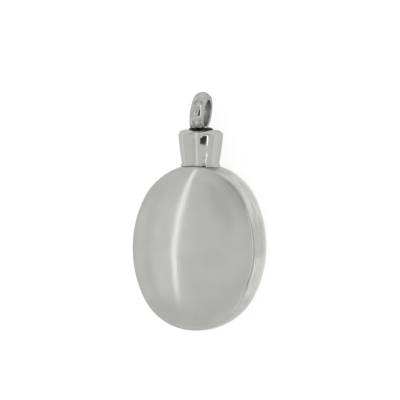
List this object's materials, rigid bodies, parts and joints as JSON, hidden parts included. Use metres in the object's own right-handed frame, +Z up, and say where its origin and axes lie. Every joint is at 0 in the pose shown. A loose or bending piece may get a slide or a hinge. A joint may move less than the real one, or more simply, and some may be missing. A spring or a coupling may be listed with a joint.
{
  "type": "keepsake urn pendant",
  "caption": "Oval hollow keepsake urn pendant in polished steel, with a turned neck, a rubber seal and a screw stopper that ends in a hanging eye.",
  "frame": {"origin": "on the surface that the pendant lies on, under the middle of its length and width", "axes": "+Y along the pendant from the body towards the hanging eye, +Z up out of the front dome, +X to the right seen from the front"},
  "size_m": [0.0192, 0.0354, 0.0082],
  "materials": {
    "body_steel": "polished stainless steel",
    "neck_steel": "polished stainless steel",
    "seal_rubber": "matte black rubber",
    "screw_steel": "polished stainless steel"
  },
  "bodies": {
    "urn": {"urn_body": "body_steel", "neck_collar": "neck_steel"},
    "stopper": {"bail_screw": "screw_steel", "seal_ring": "seal_rubber"}
  },
  "joints": [
    {"name": "stopper_lift", "type": "slide", "parent": "urn", "child": "stopper", "axis": [0, 1, 0], "range_m": [0, 0.006]}
  ]
}
